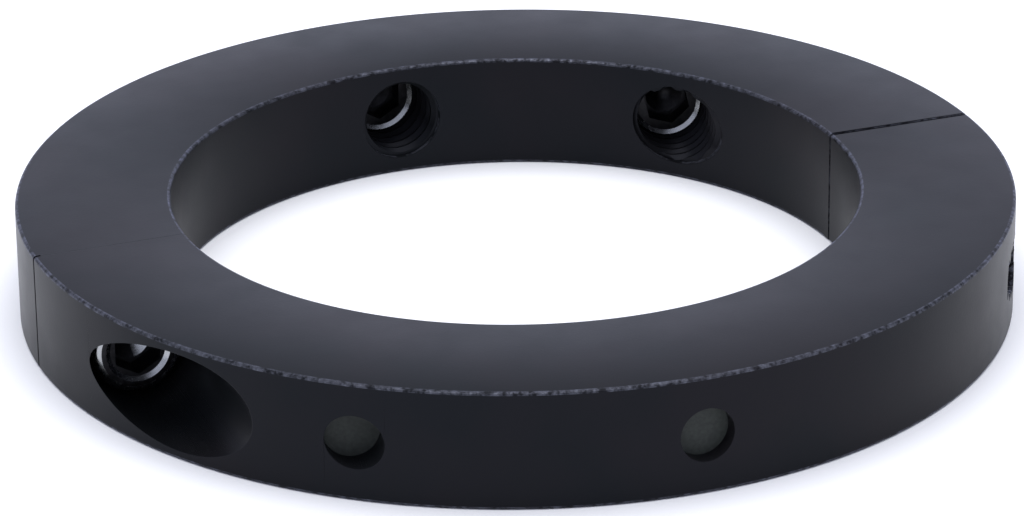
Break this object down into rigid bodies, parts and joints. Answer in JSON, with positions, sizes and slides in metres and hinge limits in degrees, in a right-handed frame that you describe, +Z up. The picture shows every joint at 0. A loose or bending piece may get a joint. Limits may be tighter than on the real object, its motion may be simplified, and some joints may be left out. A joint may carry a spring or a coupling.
{
  "type": "split clamp ring",
  "caption": "Flat two-piece clamp ring for a shaft, with counterbored clamp screws and magnets set into cross holes behind thin windows.",
  "frame": {"origin": "centre of the bore, on the bottom face", "axes": "+X along the split line towards the clamp screw of the rear half, +Y square to the split from the front half to the rear half, +Z up along the bore"},
  "size_m": [0.1066, 0.1066, 0.0127],
  "materials": {
    "ring": "satin black anodised",
    "screw": "black oxide",
    "magnet": "matte coated sintered magnet"
  },
  "bodies": {
    "front_half": {"half_ring_front": "ring"},
    "rear_half": {"half_ring_rear": "ring"},
    "left_clamp_screw": {"clamp_screw_left": "screw"},
    "right_clamp_screw": {"clamp_screw_right": "screw"},
    "front_middle_magnet": {"magnet_front_middle": "magnet"},
    "front_middle_set_screw": {"set_screw_front_middle": "screw"},
    "front_side_magnet": {"magnet_front_side": "magnet"},
    "front_side_set_screw": {"set_screw_front_side": "screw"},
    "rear_middle_magnet": {"magnet_rear_middle": "magnet"},
    "rear_middle_set_screw": {"set_screw_rear_middle": "screw"},
    "rear_side_magnet": {"magnet_rear_side": "magnet"},
    "rear_side_set_screw": {"set_screw_rear_side": "screw"}
  },
  "joints": [
    {"name": "halves_open", "type": "slide", "parent": "front_half", "child": "rear_half", "axis": [0, 1, 0], "range_m": [0, 0.012]},
    {"name": "left_clamp_screw_turn", "type": "hinge", "parent": "front_half", "child": "left_clamp_screw", "pos_m": [-0.04618, 0, 0.00635], "axis": [0, -1, 0], "range_deg": [0, 3410]},
    {"name": "right_clamp_screw_turn", "type": "hinge", "parent": "rear_half", "child": "right_clamp_screw", "pos_m": [0.04618, 0, 0.00635], "axis": [0, 1, 0], "range_deg": [0, 3410]},
    {"name": "front_middle_magnet_slide", "type": "slide", "parent": "front_half", "child": "front_middle_magnet", "axis": [0, 1, 0], "range_m": [0, 0.007]},
    {"name": "front_middle_set_screw_turn", "type": "hinge", "parent": "front_middle_magnet", "child": "front_middle_set_screw", "pos_m": [0, -0.05334, 0.00635], "axis": [0, 1, 0], "range_deg": [0, 1590]},
    {"name": "front_side_magnet_slide", "type": "slide", "parent": "front_half", "child": "front_side_magnet", "axis": [0.2334, 0.9724, 0], "range_m": [0, 0.007]},
    {"name": "front_side_set_screw_turn", "type": "hinge", "parent": "front_side_magnet", "child": "front_side_set_screw", "pos_m": [-0.03284, -0.04203, 0.00635], "axis": [0.2334, 0.9724, 0], "range_deg": [0, 1590]},
    {"name": "rear_middle_magnet_slide", "type": "slide", "parent": "rear_half", "child": "rear_middle_magnet", "axis": [0, -1, 0], "range_m": [0, 0.007]},
    {"name": "rear_middle_set_screw_turn", "type": "hinge", "parent": "rear_middle_magnet", "child": "rear_middle_set_screw", "pos_m": [0, 0.05334, 0.00635], "axis": [0, -1, 0], "range_deg": [0, 1590]},
    {"name": "rear_side_magnet_slide", "type": "slide", "parent": "rear_half", "child": "rear_side_magnet", "axis": [-0.2334, -0.9724, 0], "range_m": [0, 0.007]},
    {"name": "rear_side_set_screw_turn", "type": "hinge", "parent": "rear_side_magnet", "child": "rear_side_set_screw", "pos_m": [0.03284, 0.04203, 0.00635], "axis": [-0.2334, -0.9724, 0], "range_deg": [0, 1590]}
  ],
  "couplings": [
    {"joint": "left_clamp_screw_turn", "follows": "halves_open", "rad_per_m": 4947.4},
    {"joint": "right_clamp_screw_turn", "follows": "halves_open", "rad_per_m": 4947.4},
    {"joint": "front_middle_set_screw_turn", "follows": "front_middle_magnet_slide", "rad_per_m": 3957.9},
    {"joint": "front_side_set_screw_turn", "follows": "front_side_magnet_slide", "rad_per_m": 3957.9},
    {"joint": "rear_middle_set_screw_turn", "follows": "rear_middle_magnet_slide", "rad_per_m": 3957.9},
    {"joint": "rear_side_set_screw_turn", "follows": "rear_side_magnet_slide", "rad_per_m": 3957.9}
  ]
}
